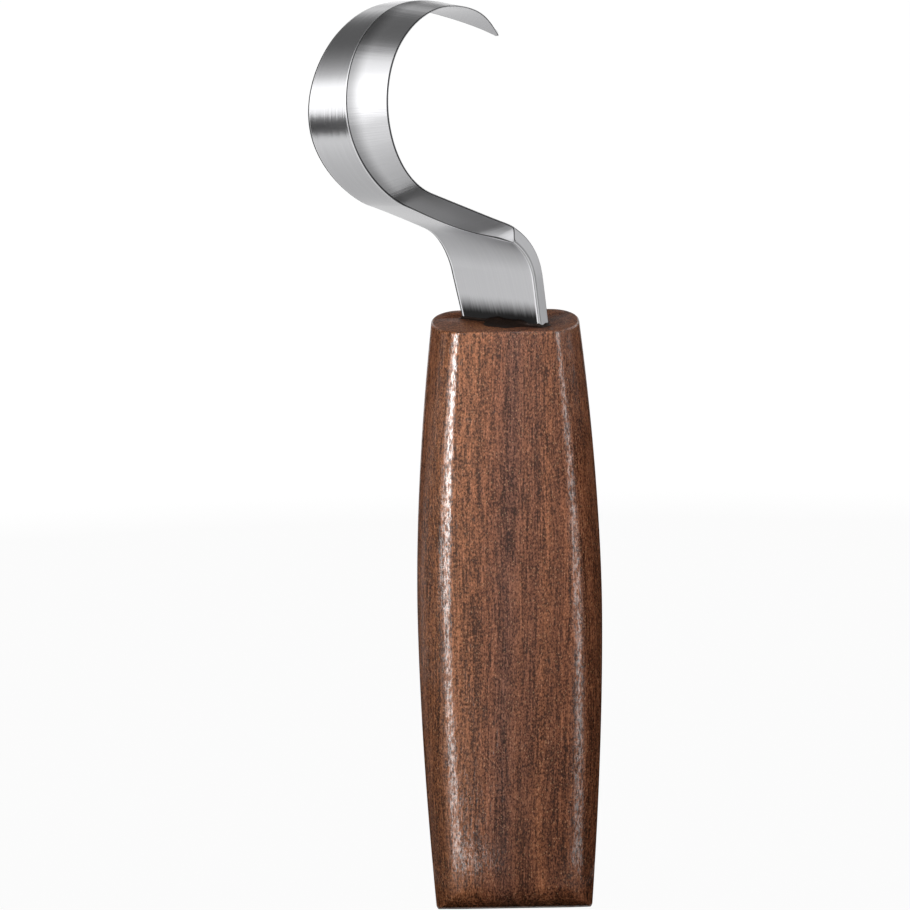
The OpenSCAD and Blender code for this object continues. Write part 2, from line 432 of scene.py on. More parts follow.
@dataclass(frozen=True)
class GroundSteel:
    """Carbon steel, ground on a belt and then polished.

    The belt leaves fine lines, which show as slight shifts in what the steel
    reflects. Real ones are under 0.1 mm apart, and they are drawn 0.2 to
    0.3 mm apart, to show at this distance. The shank is left satin, and the
    polish begins past the heel. The foot is darkened towards the neck, in
    combed lines. Where it is asked for, the bevel next to the ridge is
    painted darker, a painted shade.
    """

    name: str
    run: LineRun
    colour: str = "DADADC"
    roughness: float = 0.18
    satin: float = 0.18
    satin_to: tuple[float, float] = (18.0, 32.0)
    tilt: float = 0.06
    tone: float = 0.12
    # whether the foot is darkened towards the neck
    stained: bool = False
    # whether the bevel's colour is darkened next to the ridge, a painted shade
    painted_ridge_shade: bool = False
    foot_dark_colour: str = "0D0B0A"
    foot_dark_roughness: float = 0.5
    foot_dark_specular: float = 0.15
    # the darkened foot's lines a mm along and across the strip, how far they comb it out and where it
    # fades, in mm
    foot_dark_lines: tuple[float, float, float] = (0.12, 2.2, 1.0)
    foot_dark_comb: float = 1.4
    foot_dark_fade: tuple[float, float] = (1.4, 5.0)
    foot_dark_most: float = 0.98
    # the painted shade by the ridge: how deep before and after a stretch of the length, and how far it
    # spreads
    ridge_shades: tuple[float, float] = (0.9, 0.5)
    ridge_stretch: tuple[float, float] = (0.36, 0.46)
    ridge_spread: float = 0.42

    def build(self) -> bpy.types.Material:
        """Builds the steel, whose lines follow the strip through its UV map, in mm.

        Returns:
            The material.
        """
        material, tree = new_material(self.name)
        node = partial(add_node, tree)
        place = node("ShaderNodeUVMap", uv_map="strip")
        lines = noise(tree, place, (*self.run.value, 1.0))
        lean = node(MATH, {0: lines, 1: 2 * self.tilt, 2: -self.tilt}, operation="MULTIPLY_ADD")
        along = node("ShaderNodeTangent", direction_type="UV_MAP", uv_map="strip")
        leaning = node(VECTOR, {0: along, "Scale": lean}, operation="SCALE")
        upright = node("ShaderNodeNewGeometry").outputs["Normal"]
        summed = node(VECTOR, {0: upright, 1: leaning}, operation="ADD")
        normal = node(VECTOR, {0: summed}, operation="NORMALIZE")
        shade = node(MATH, {0: lines, 1: self.tone, 2: 1 - self.tone / 2}, operation="MULTIPLY_ADD")
        # painted shade: the bevel's colour is darkened next to the ridge
        if self.painted_ridge_shade:
            shade = node(MATH, {0: shade, 1: self._painted_shade_by_ridge(tree)}, operation="MULTIPLY")
        colour = node(VECTOR, {0: linear(self.colour)[:3], "Scale": shade}, operation="SCALE")
        distance = node("ShaderNodeSeparateXYZ", {0: place})
        span = {"From Min": self.satin_to[0], "From Max": self.satin_to[1]}
        polish = {0: distance, **span, "To Min": self.satin, "To Max": self.roughness}
        rough = node(RANGE, polish, interpolation_type="SMOOTHSTEP")
        metal = {"Base Color": colour, "Metallic": 1.0, "Roughness": rough, "Normal": normal}
        shader = node("ShaderNodeBsdfPrincipled", metal)
        # the foot is darkened towards the neck, in combed lines
        if self.stained:
            gloss = {"Roughness": self.foot_dark_roughness, "Specular IOR Level": self.foot_dark_specular}
            dark_foot = node("ShaderNodeBsdfPrincipled", {"Base Color": linear(self.foot_dark_colour), **gloss})
            amount = self._foot_darkening(tree, place, distance)
            shader = node("ShaderNodeMixShader", {0: amount, 1: shader, 2: dark_foot})
        node("ShaderNodeOutputMaterial", {"Surface": shader})
        return material

    def _painted_shade_by_ridge(self, tree: Tree) -> Node:
        """Paints shade on the part of the bevel next to the ridge, darkening its colour there.

        Args:
            tree: The material's node tree.

        Returns:
            A node that falls from 1 to the painted shade by the ridge.
        """
        node = partial(add_node, tree)
        share = node("ShaderNodeUVMap", uv_map="share")
        along, across, _ = node("ShaderNodeSeparateXYZ", {0: share}).outputs
        (start, end), (before, beyond) = self.ridge_stretch, self.ridge_shades
        fall = {0: along, "From Min": start, "From Max": end, "To Min": before, "To Max": beyond}
        deepest = node(RANGE, fall, interpolation_type="SMOOTHSTEP")
        rise = {0: across, "From Max": self.ridge_spread, "To Min": deepest, "To Max": 1.0}
        return node(RANGE, rise, interpolation_type="SMOOTHSTEP")

    def _foot_darkening(self, tree: Tree, place: Node, distance: Node) -> Node:
        """Gives how far the foot of the shank is darkened.

        Args:
            tree: The material's node tree.
            place: The strip's UV map, in mm.
            distance: Distance from the neck, in mm.

        Returns:
            A node that falls from 1 at the neck to 0 some 5 mm up, in combed lines.
        """
        node = partial(add_node, tree)
        comb = noise(tree, place, self.foot_dark_lines)
        combed = {0: comb, 1: self.foot_dark_comb, 2: -self.foot_dark_comb / 2}
        reach = node(MATH, combed, operation="MULTIPLY_ADD")
        reach = node(MATH, {0: distance, 1: reach}, operation="ADD")
        start, end = self.foot_dark_fade
        fall = {0: reach, "From Min": start, "From Max": end, "To Min": self.foot_dark_most, "To Max": 0.0}
        return node(RANGE, fall, interpolation_type="SMOOTHSTEP")


@dataclass(frozen=True)
class CuredEpoxy:
    """Epoxy thickened with walnut dust and cured: near black, nearly matt, and lumpy at about 0.5 mm."""

    name: str = "epoxy_with_walnut_dust"
    colour: str = "100A07"
    dust_colour: str = "1C110B"
    dust_density: float = 1800.0
    lump: float = 0.08
    roughness: float = 0.5
    specular: float = 0.06

    def build(self) -> bpy.types.Material:
        """Builds the epoxy and the dust in it.

        Returns:
            The material.
        """
        material, tree = new_material(self.name)
        node = partial(add_node, tree)
        place = node("ShaderNodeTexCoord").outputs["Object"]
        dust = node("ShaderNodeTexNoise", {"Vector": place, "Scale": self.dust_density, "Detail": 3.0})
        blend = {0: dust, 6: linear(self.colour), 7: linear(self.dust_colour)}
        colour = node("ShaderNodeMix", blend, data_type="RGBA").outputs[2]
        bump = node("ShaderNodeBump", {"Height": dust, "Strength": 1.0, "Distance": self.lump * MM})
        gloss = {"Roughness": self.roughness, "Specular IOR Level": self.specular}
        shader = node("ShaderNodeBsdfPrincipled", {"Base Color": colour, **gloss, "Normal": bump})
        node("ShaderNodeOutputMaterial", {"Surface": shader})
        return material


# --- What the pieces share ---


@dataclass(frozen=True)
class Seat:
    """How the strip stands in the handle's neck.

    Args:
        height: Height of the neck above the butt, in mm.
        turn: How far the strip is turned about the handle's length, in degrees.
        forward: How far its middle is in front of the handle's middle, in mm.
        width: The strip's width, in mm.
        thickness: Its thickness, in mm.
        shoulder_depth: How far below the neck its shoulders end, in mm.
        tang: The tang's width, and how far below the neck it ends, in mm.
    """

    height: float = round(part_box("handle")[1].z / MM, 3)
    turn: float = 35.0
    forward: float = 1.3
    width: float = 18.0
    thickness: float = 2.7
    shoulder_depth: float = 11.0
    tang: tuple[float, float] = (11.0, 56.0)

    def across(self) -> np.ndarray:
        """Points across the strip, to the side of its cutting edge."""
        return np.array([math.cos(math.radians(self.turn)), -math.sin(math.radians(self.turn)), 0.0])

    def front(self) -> np.ndarray:
        """Points out of the strip's outer face."""
        return np.array([-math.sin(math.radians(self.turn)), -math.cos(math.radians(self.turn)), 0.0])

    def middle(self) -> np.ndarray:
        """Gives the strip's middle at the neck, in mm."""
        return np.array([0.0, -self.forward, self.height])


SEAT = Seat()


# --- Handle ---


@dataclass
class Handle:
    """The walnut handle, with the blade's slot in its neck.

    It is bellied in width, its faces are nearly flat, and its long edges are
    rounded. Lengths are in mm, and the rest are shares.
    """

    length: float = SEAT.height
    butt: tuple[float, float] = (29.1, 25.0)
    belly: tuple[float, float] = (34.5, 26.0)
    neck: tuple[float, float] = (27.5, 22.5)
    belly_height: float = 57.5
    fullness: float = 1.75
    round_width: float = 0.38
    butt_round_depth: float = 0.4
    neck_round_depth: float = 0.96
    butt_round_height: float = 4.9
    butt_bow: float = 0.3
    butt_edge: float = 0.7
    neck_edge: float = 0.4
    slot_gap: float = 0.4
    slot_proud: float = 2.0
    points_round: int = 288
    rings: int = 230
    # shares of the rings that the butt's and the neck's edges take, and of a quarter's points between
    # which the long edge is round
    butt_rings: float = 0.09
    neck_rings: float = 0.0225
    round_from: float = 0.14
    round_to: float = 0.78
    # how level a face is before it counts as end grain
    end_grain_from: float = 0.93

    def build(self) -> bpy.types.Object:
        """Makes the handle from its node tree, dresses it and lets it stand for the CAD handle.

        Returns:
            The handle.
        """
        side = LacqueredWalnut().build()
        ends = LacqueredWalnut("walnut_end_grain", roughness=0.6, coat=0.15, relief=0.008, tone=0.7).build()
        tree, sockets = self._tree(side, ends)
        holder = add_piece("handle_holder", np.zeros((1, 3)), [], [])
        modifier = holder.modifiers.new("shape", "NODES")
        modifier.node_group = tree
        for name, value in self._sizes().items():
            modifier[sockets[name]] = value
        graph = bpy.context.evaluated_depsgraph_get()
        mesh = bpy.data.meshes.new_from_object(holder.evaluated_get(graph))
        bpy.data.objects.remove(holder)
        mesh.name = "walnut_handle"
        piece = bpy.data.objects.new("walnut_handle", mesh)
        bpy.context.scene.collection.objects.link(piece)
        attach(piece, "root")
        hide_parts("handle")
        LOG.info("handle: %d faces", len(mesh.polygons))
        return piece

    def _sizes(self) -> dict[str, float]:
        """Gives the tree's inputs.

        Returns:
            Each input's name and value, with lengths in metres.
        """
        sizes = {
            f"{part} Half {axis}": size / 2 * MM
            for part, pair in (("Butt", self.butt), ("Belly", self.belly), ("Neck", self.neck))
            for axis, size in zip(("Width", "Depth"), pair)
        }
        return sizes | {
            "Length": self.length * MM,
            "Belly Height": self.belly_height * MM,
            "Fullness": self.fullness,
            "Round Width": self.round_width,
            "Butt Round Depth": self.butt_round_depth,
            "Neck Round Depth": self.neck_round_depth,
            "Butt Round Height": self.butt_round_height * MM,
            "Butt Bow": self.butt_bow * MM,
            "Butt Edge": self.butt_edge * MM,
            "Neck Edge": self.neck_edge * MM,
        }

    def _tree(self, side: bpy.types.Material, ends: bpy.types.Material) -> tuple[Tree, dict[str, str]]:
        """Builds the node tree that shapes a plain cylinder into the handle.

        Args:
            side: The material of the long faces.
            ends: The material of the butt and the neck.

        Returns:
            The tree, and for each input's name its socket's identifier.
        """
        tree = bpy.data.node_groups.new("handle_shape", "GeometryNodeTree")
        faces = tree.interface
        faces.new_socket(name="Geometry", in_out="OUTPUT", socket_type="NodeSocketGeometry")
        sockets = {
            name: faces.new_socket(name=name, in_out="INPUT", socket_type="NodeSocketFloat").identifier
            for name in self._sizes()
        }
        node = partial(add_node, tree)
        size = node("NodeGroupInput").outputs
        counts = {"Vertices": self.points_round, "Side Segments": self.rings, "Fill Segments": 1}
        blank = node("GeometryNodeMeshCylinder", {**counts, "Radius": 1.0, "Depth": 1.0}, fill_type="NGON")
        place = node("ShaderNodeSeparateXYZ", {0: node("GeometryNodeInputPosition")}).outputs
        height, inset = self._height(node, size, place[2])
        half_w, half_d = self._halves(node, size, height, inset)
        width, depth = self._section(node, size, place, height, half_w, half_d)
        signs = [node(MATH, {0: place[i]}, operation="SIGN") for i in (0, 1)]
        x, y = (node(MATH, {0: v, 1: sign}, operation="MULTIPLY") for v, sign in zip((width, depth), signs))
        spot = node("ShaderNodeCombineXYZ", {0: x, 1: y, 2: height})
        shaped = node("GeometryNodeSetPosition", {"Geometry": blank, "Position": spot})
        cut_out = {"operation": "DIFFERENCE", "solver": "EXACT"}
        slotted = node("GeometryNodeMeshBoolean", {"Mesh 1": shaped}, **cut_out)
        for steel_width, below in ((SEAT.width, SEAT.shoulder_depth), SEAT.tang):
            box = self._slot_box(node, steel_width, below)
            tree.links.new(box.outputs[0], slotted.inputs["Mesh 2"])
        smooth = node("GeometryNodeSetShadeSmooth", {"Geometry": slotted})
        facing = node("ShaderNodeSeparateXYZ", {0: node("GeometryNodeInputNormal")}).outputs[2]
        facing = node(MATH, {0: facing}, operation="ABSOLUTE")
        level = node("FunctionNodeCompare", {0: facing, 1: self.end_grain_from}, operation="GREATER_THAN")
        dressed = node("GeometryNodeSetMaterial", {"Geometry": smooth, "Material": side})
        end_faces = {"Geometry": dressed, "Selection": level, "Material": ends}
        dressed = node("GeometryNodeSetMaterial", end_faces)
        real = node("GeometryNodeRealizeInstances", {"Geometry": dressed})
        node("NodeGroupOutput", {0: real})
        return tree, sockets

    def _height(self, node: AddNode, size: Sockets, level: Socket) -> tuple:
        """Spreads the rings up the handle: close at the edges of its two ends, and evenly between them.

        Args:
            node: Adds a node to the handle's tree.
            size: The tree's inputs.
            level: Height on the blank, from -0.5 to 0.5.

        Returns:
            The height above the butt, and how far the neck's edge stands back there.
        """
        up = node(MATH, {0: level, 1: 0.5}, operation="ADD")
        neck_from = 1 - self.neck_rings
        low = node(RANGE, {0: up, "From Max": self.butt_rings, "To Max": QUARTER})
        high = node(RANGE, {0: up, "From Min": neck_from, "From Max": 1.0, "To Max": QUARTER})
        foot, inset = (
            node(MATH, {0: 1.0, 1: node(MATH, {0: turn}, operation="COSINE")}, operation="SUBTRACT")
            for turn in (low, high)
        )
        foot = node(MATH, {0: foot, 1: size["Butt Round Height"]}, operation="MULTIPLY")
        inset = node(MATH, {0: inset, 1: size["Neck Edge"]}, operation="MULTIPLY")
        sine = node(MATH, {0: high}, operation="SINE")
        head = node(MATH, {0: sine, 1: size["Neck Edge"]}, operation="MULTIPLY")
        straight = node(MATH, {0: size["Length"], 1: size["Butt Round Height"]}, operation="SUBTRACT")
        straight = node(MATH, {0: straight, 1: size["Neck Edge"]}, operation="SUBTRACT")
        span = {"From Min": self.butt_rings, "From Max": neck_from}
        middle = node(RANGE, {0: up, **span, "To Max": straight})
        height = node(MATH, {0: foot, 1: middle}, operation="ADD")
        return node(MATH, {0: height, 1: head}, operation="ADD"), inset

    def _halves(
        self, node: AddNode, size: Sockets, height: Node, inset: Node
    ) -> tuple:
        """Gives the handle's half width and half depth, which fall from the belly to the butt and the neck.

        Args:
            node: Adds a node to the handle's tree.
            size: The tree's inputs.
            height: The height above the butt.
            inset: How far the neck's edge stands back.

        Returns:
            The half width and the half depth.
        """
        falls = []
        for end, to in (("Butt", 0.0), ("Neck", size["Length"])):
            fall = node(RANGE, {0: height, "From Min": size["Belly Height"], "From Max": to, "To Max": 1.0})
            falls.append((end, node(MATH, {0: fall, 1: size["Fullness"]}, operation="POWER")))
        halves = []
        for axis in ("Width", "Depth"):
            belly = size[f"Belly Half {axis}"]
            half = belly
            for end, fall in falls:
                drop = node(MATH, {0: size[f"{end} Half {axis}"], 1: belly}, operation="SUBTRACT")
                half = node(MATH, {0: drop, 1: fall, 2: half}, operation="MULTIPLY_ADD")
            halves.append(node(MATH, {0: half, 1: inset}, operation="SUBTRACT"))
        broken = self._round_back(node, height, size["Butt Edge"], size["Butt Edge"])
        return node(MATH, {0: halves[0], 1: broken}, operation="SUBTRACT"), halves[1]

    def _section(
        self,
        node: AddNode,
        size: Sockets,
        place: list[Socket],
        height: Node,
        half_w: Node,
        half_d: Node,
    ) -> tuple:
        """Shapes a quarter of the section: a flat side, a quarter round and a flat front.

        Args:
            node: Adds a node to the handle's tree.
            size: The tree's inputs.
            place: Where on the blank.
            height: The height above the butt.
            half_w: Half the handle's width there.
            half_d: Half its depth there.

        Returns:
            The distances to the side of the middle and in front of it.
        """
        round_w = node(MATH, {0: half_w, 1: size["Round Width"]}, operation="MULTIPLY")
        depths = {"To Min": size["Butt Round Depth"], "To Max": size["Neck Round Depth"]}
        round_d = node(RANGE, {0: height, "From Max": size["Length"], **depths})
        round_d = node(MATH, {0: round_d, 1: half_d}, operation="MULTIPLY")
        # the way round the quarter, 0 at the side and a right angle at the front
        x, y = (node(MATH, {0: place[i]}, operation="ABSOLUTE") for i in (0, 1))
        way = node(MATH, {0: y, 1: x}, operation="ARCTAN2")
        first, last = self.round_from * QUARTER, self.round_to * QUARTER
        turn = node(RANGE, {0: way, "From Min": first, "From Max": last, "To Max": QUARTER})
        side_run = node(RANGE, {0: way, "From Max": first})
        face_run = node(RANGE, {0: way, "From Min": QUARTER, "From Max": last})
        cosine = node(MATH, {0: turn}, operation="COSINE")
        sine = node(MATH, {0: turn}, operation="SINE")
        reach = []
        for half, rounding, run, bend in (
            (half_w, round_w, face_run, cosine),
            (half_d, round_d, side_run, sine),
        ):
            flat = node(MATH, {0: half, 1: rounding}, operation="SUBTRACT")
            flat = node(MATH, {0: flat, 1: run}, operation="MULTIPLY")
            reach.append(node(MATH, {0: rounding, 1: bend, 2: flat}, operation="MULTIPLY_ADD"))
        # the rounding that runs across the front and the back at the butt
        back = self._round_back(node, height, round_d, size["Butt Round Height"])
        cut = node(MATH, {0: half_d, 1: back}, operation="SUBTRACT")
        bow = node(MATH, {0: cosine, 1: cosine}, operation="MULTIPLY")
        bow = node(MATH, {0: bow, 1: size["Butt Bow"]}, operation="MULTIPLY")
        cut = node(MATH, {0: cut, 1: bow}, operation="SUBTRACT")
        return reach[0], node(MATH, {0: reach[1], 1: cut}, operation="MINIMUM")

    @staticmethod
    def _round_back(
        node: AddNode,
        height: Node,
        radius: Node | Socket,
        over: Socket,
    ) -> Node:
        """Gives how far a quarter round stands back at a height up it.

        Args:
            node: Adds a node to the handle's tree.
            height: The height above the butt.
            radius: How far it stands back at the butt.
            over: The height over which it comes forward.

        Returns:
            The distance back, 0 above the quarter round.
        """
        short = node(RANGE, {0: height, "From Max": over, "To Min": 1.0, "To Max": 0.0})
        square = node(MATH, {0: short, 1: short}, operation="MULTIPLY")
        rest = node(MATH, {0: 1.0, 1: square}, operation="SUBTRACT")
        root = node(MATH, {0: rest}, operation="SQRT")
        gone = node(MATH, {0: 1.0, 1: root}, operation="SUBTRACT")
        return node(MATH, {0: gone, 1: radius}, operation="MULTIPLY")

    def _slot_box(self, node: AddNode, width: float, below: float) -> Node:
        """Adds one depth of the blade's slot.

        Args:
            node: Adds a node to the handle's tree.
            width: Width of the steel in it, in mm.
            below: Depth of the steel below the neck, in mm.

        Returns:
            The box, which stands proud of the neck to cut it open.
        """
        tall = below + self.slot_gap + self.slot_proud
        wide, thick = (steel + 2 * self.slot_gap for steel in (width, SEAT.thickness))
        box = node("GeometryNodeMeshCube", {"Size": (wide * MM, thick * MM, tall * MM)})
        middle = self.length + self.slot_proud - tall / 2
        moved = (0.0, -SEAT.forward * MM, middle * MM)
        turned = (0.0, 0.0, -math.radians(SEAT.turn))
        inputs = {"Geometry": box, "Translation": moved, "Rotation": turned}
        return node("GeometryNodeTransform", inputs)


# --- Blade ---


class StripFace(IntEnum):
    """The faces of the strip, in the order of its material slots."""

    OUTER = 0
    BEVEL = 1
    INNER = 2
    SIDE = 3
    ARRIS = 4
    RIDGE = 5


@dataclass
class HookBlade:
    """The steel strip: shank, hook with one bevel ground on its outer face, and the tang in the handle.

    Lengths and thicknesses are in mm and angles in degrees. The cutting edge,
    the spine and the ridge are curves: each point is a share of the bent
    length, and a share of the strip's width to the side of its middle.
    """

    tip_t: float = 1.0
    edge_t: float = 0.15
    chamfer: float = 0.5
    rise: float = 9.3
    shank_r: float = 11.7
    shank_bend: float = 65.5
    reach: float = 18.8
    hook_r: float = 16.7
    hook_bend: float = 122.5
    tip_r: float = 24.0
    tip_bend: float = 80.5
    twist: float = 7.0
    plunge: float = 1.5
    heel: float = 0.174
    full_width_depth: float = 8.0
    neck_ring: float = 1.0
    corner_radii: tuple[float, ...] = (0.25, 0.5, 2.0, 0.2, 0.25)
    side_points: tuple[int, ...] = (3, 16, 16, 4, 22)
    corner_steps: int = 4
    # the outermost share of a face, which takes the look of the corner, and the wider one along the bevel
    rim: float = 0.015
    honed_rim: float = 0.03
    steps: int = 660
    cutting_edge: tuple = (
        (0, 0.5),
        (0.125, 0.385),
        (0.245, 0.165),
        (0.39, -0.01),
        (0.54, -0.05),
        (0.83, -0.045),
        (0.92, -0.02),
        (1, -0.095),
    )
    spine: tuple = (
        (0, -0.5),
        (0.125, -0.69),
        (0.245, -0.78),
        (0.39, -0.8),
        (0.54, -0.995),
        (0.685, -0.89),
        (0.83, -0.74),
        (0.92, -0.555),
        (1, -0.14),
    )
    ridge: tuple = (
        (0.174, 0.26),
        (0.186, 0.08),
        (0.205, -0.1),
        (0.235, -0.22),
        (0.29, -0.29),
        (0.39, -0.315),
        (0.54, -0.485),
        (0.685, -0.5),
        (0.83, -0.44),
        (1, -0.115),
    )

    def __post_init__(self) -> None:
        """Works out where each bend of the strip begins."""
        self.shank_arc = math.radians(self.shank_bend) * self.shank_r
        self.hook_arc = math.radians(self.hook_bend) * self.hook_r
        self.tip_arc = math.radians(self.tip_bend) * self.tip_r
        self.reach_from = self.rise + self.shank_arc
        self.hook_from = self.reach_from + self.reach
        self.tip_from = self.hook_from + self.hook_arc
        self.bent_l = self.tip_from + self.tip_arc
        self.front = SEAT.front()
        self.foot = SEAT.middle() - self.front * SEAT.thickness / 2

    def directions(self, s: np.ndarray) -> tuple[np.ndarray, np.ndarray, np.ndarray]:
        """Gives the strip's directions at distances s along it.

        Args:
            s: Distances from the neck along the strip, in mm.

        Returns:
            Unit rows across the strip to its cutting edge, along it, and out of its outer face.
        """
        heading = np.radians(
            self.shank_bend * np.clip((s - self.rise) / self.shank_arc, 0, 1)
            - self.hook_bend * np.clip((s - self.hook_from) / self.hook_arc, 0, 1)
            - self.tip_bend * np.clip((s - self.tip_from) / self.tip_arc, 0, 1)
        )[:, None]
        middle = self.hook_from + self.hook_arc / 2
        lift = np.radians(self.twist * ease((s - self.reach_from) / (middle - self.reach_from)))
        flat = SEAT.across() * np.cos(lift)[:, None]
        across = flat + np.array([0.0, 0.0, 1.0]) * np.sin(lift)[:, None]
        up = np.cross(self.front, across)
        along = self.front * np.sin(heading) + up * np.cos(heading)
        outward = self.front * np.cos(heading) - up * np.sin(heading)
        return across, along, outward

    def corners(self, s: np.ndarray) -> np.ndarray:
        """Gives the section's five corners at distances s.

        Args:
            s: Distances from the neck along the strip, in mm.

        Returns:
            For each distance, five points: how far across, and how far out of the inner face.
        """
        u = s / self.bent_l
        near = SEAT.width * smooth_lookup(u, self.cutting_edge)
        spine = SEAT.width * smooth_lookup(u, self.spine)
        thick = SEAT.thickness + (self.tip_t - SEAT.thickness) * np.clip(
            (s - self.hook_from) / (self.bent_l - self.hook_from), 0, 1
        )
        sunk = ease((s - self.heel * self.bent_l) / self.plunge)
        ridge = np.where(
            u <= self.heel,
            near - self.chamfer,
            np.minimum(near - self.chamfer, SEAT.width * smooth_lookup(u, self.ridge)),
        )
        near_t = (thick - self.chamfer) * (1 - sunk) + self.edge_t * sunk
        zero = np.zeros_like(s)
        return np.stack(
            [
                np.stack([spine, zero], 1),
                np.stack([spine, thick], 1),
                np.stack([ridge, thick], 1),
                np.stack([near, near_t], 1),
                np.stack([near, zero], 1),
            ],
            axis=1,
        )

    def rounded(self, corners: np.ndarray) -> tuple[np.ndarray, list[StripFace]]:
        """Rounds the section's corners and fills its sides with points.

        Args:
            corners: Five corners for each section.

        Returns:
            The points of each section, and the face of the strip that follows each point.
        """
        longest = 0.3  # share of a side that one corner may take
        steps = self.corner_steps
        after = np.roll(corners, -1, axis=1) - corners
        length = np.linalg.norm(after, axis=2)
        unit = after / length[..., None]
        starts, ends, arcs = [], [], []
        for k, radius in enumerate(self.corner_radii):
            before = -unit[:, k - 1]
            beyond = unit[:, k]
            half = 0.5 * np.arccos(np.clip((before * beyond).sum(1), -1, 1))
            run = np.minimum(radius / np.tan(half), longest * np.minimum(length[:, k - 1], length[:, k]))
            r = run * np.tan(half)
            middle = before + beyond
            middle /= np.linalg.norm(middle, axis=1)[:, None]
            centre = corners[:, k] + middle * (r / np.sin(half))[:, None]
            first = corners[:, k] + before * run[:, None]
            last = corners[:, k] + beyond * run[:, None]
            sweep = []
            for i in range(steps + 1):
                t = i / steps
                spoke = (first - centre) * (1 - t) + (last - centre) * t
                spoke *= (r / np.linalg.norm(spoke, axis=1))[:, None]
                sweep.append(centre + spoke)
            starts.append(first)
            ends.append(last)
            arcs.append(sweep)
        faces = (StripFace.SIDE, StripFace.OUTER, StripFace.BEVEL, StripFace.SIDE, StripFace.INNER)
        # the looks of a face's first and last rims, where they aren't its own
        rims = {
            StripFace.OUTER: (StripFace.RIDGE, StripFace.OUTER),
            StripFace.BEVEL: (StripFace.BEVEL, StripFace.ARRIS),
            StripFace.INNER: (StripFace.ARRIS, StripFace.ARRIS),
        }
        points, follows = [], []
        for k, face in enumerate(faces):
            first_rim, last_rim = rims.get(face, (face, face))
            # the ridge's outer half takes the painted highlight, and the other corners are satin with
            # painted shade
            bright = steps // 2 if face == StripFace.BEVEL else 0
            points += arcs[k]
            follows += [StripFace.RIDGE] * bright + [StripFace.ARRIS] * (steps - bright) + [first_rim]
            a, b = ends[k], starts[(k + 1) % len(faces)]
            honed = self.honed_rim if face == StripFace.BEVEL else self.rim
            between = np.linspace(0, 1, self.side_points[k])[1:-1]
            for t in np.concatenate([[self.rim], between, [1 - honed]]):
                points.append(a * (1 - t) + b * t)
                follows.append(face)
            follows[-1] = last_rim
        return np.stack(points, axis=1), follows

    def build(self) -> bpy.types.Object:
        """Builds the strip and dresses it, and lets it stand for the CAD blade.

        Returns:
            The blade.
        """
        s = np.linspace(0, self.bent_l, self.steps)
        across, _, outward = self.directions(s)
        section, follows = self.rounded(self.corners(s))
        path = self._path()[:, None]
        bent = path + across[:, None] * section[..., :1] + outward[:, None] * section[..., 1:]
        buried, buried_at = self._buried()
        run = self._way_round(section)
        run = np.concatenate([np.repeat(run[:1], len(buried), axis=0), run])
        rings = np.concatenate([buried, bent]) * MM
        faces, slots, spots, shares = self._skin(run, np.concatenate([buried_at, s]), follows)
        piece = add_piece("steel_hook", rings.reshape(-1, 3), faces, self._finishes())
        mesh = piece.data
        mesh.polygons.foreach_set("material_index", np.array(slots, np.int32))
        for name, values in (("strip", spots), ("share", shares)):
            layer = mesh.uv_layers.new(name=name)
            layer.data.foreach_set("uv", np.array(values, np.float32).ravel())
        mesh.update()
        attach(piece, "root")
        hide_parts("hook_blade")
        LOG.info("hook: %d faces", len(mesh.polygons))
        return piece

    def _path(self) -> np.ndarray:
        """Walks along the strip's inner face in fine steps.

        Returns:
            Where the face's middle line is at each ring, in mm.
        """
        finer = 4
        fine = np.linspace(0, self.bent_l, finer * (self.steps - 1) + 1)
        half = (fine[1:] + fine[:-1]) / 2
        walked = np.cumsum(self.directions(half)[1] * (fine[1] - fine[0]), axis=0)
        return self.foot + np.vstack([[0, 0, 0], walked])[::finer]

    def _skin(
        self, run: np.ndarray, at: np.ndarray, follows: list[StripFace]
    ) -> tuple[list, list, list, list]:
        """Joins the rings with faces and closes both ends.

        Args:
            run: Each point's distance round its ring, in mm.
            at: Each ring's place along the strip, in mm.
            follows: The face of the strip that follows each point of a ring.

        Returns:
            The faces, their material slots, and each corner's place on the strip in mm and its share of
            the length and of the bevel's width.
        """
        count, around = run.shape
        bevel = [j for j, face in enumerate(follows) if face == StripFace.BEVEL]
        first, last = min(bevel), max(bevel) + 2
        # on the shank, where no bevel is ground, its place is the small chamfer and the side: the first
        # half takes the ridge's painted highlight and the rest the side's painted shade
        plain = list(follows)
        for j in range(first - self.corner_steps, last + self.corner_steps):
            plain[j] = StripFace.RIDGE if j < (first + last) // 2 else StripFace.SIDE
        bevel_width = run[:, last] - run[:, first]
        closing = 0.1  # width of the last face round a ring, in mm
        onward = np.column_stack([run[:, 1:], run[:, -1] + closing])
        faces, slots, spots, shares = [], [], [], []
        for i in range(count - 1):
            finish = plain if at[i + 1] < self.heel * self.bent_l else follows
            for j in range(around):
                k = (j + 1) % around
                faces.append((i * around + j, i * around + k, (i + 1) * around + k, (i + 1) * around + j))
                slots.append(finish[j])
                for n, m in ((i, j), (i, j + 1), (i + 1, j + 1), (i + 1, j)):
                    spots.append((at[n], run[n, j] if m == j else onward[n, j]))
                    share = (run[n, min(m, around - 1)] - run[n, first]) / bevel_width[n]
                    shares.append((at[n] / self.bent_l, share))
        for ring, order in ((0, range(around - 1, -1, -1)), (count - 1, range(around))):
            faces.append(tuple(ring * around + j for j in order))
            slots.append(StripFace.SIDE)
            spots += [(at[ring], run[ring, j]) for j in order]
            shares += [(0.0, 1.0)] * around
        return faces, slots, spots, shares

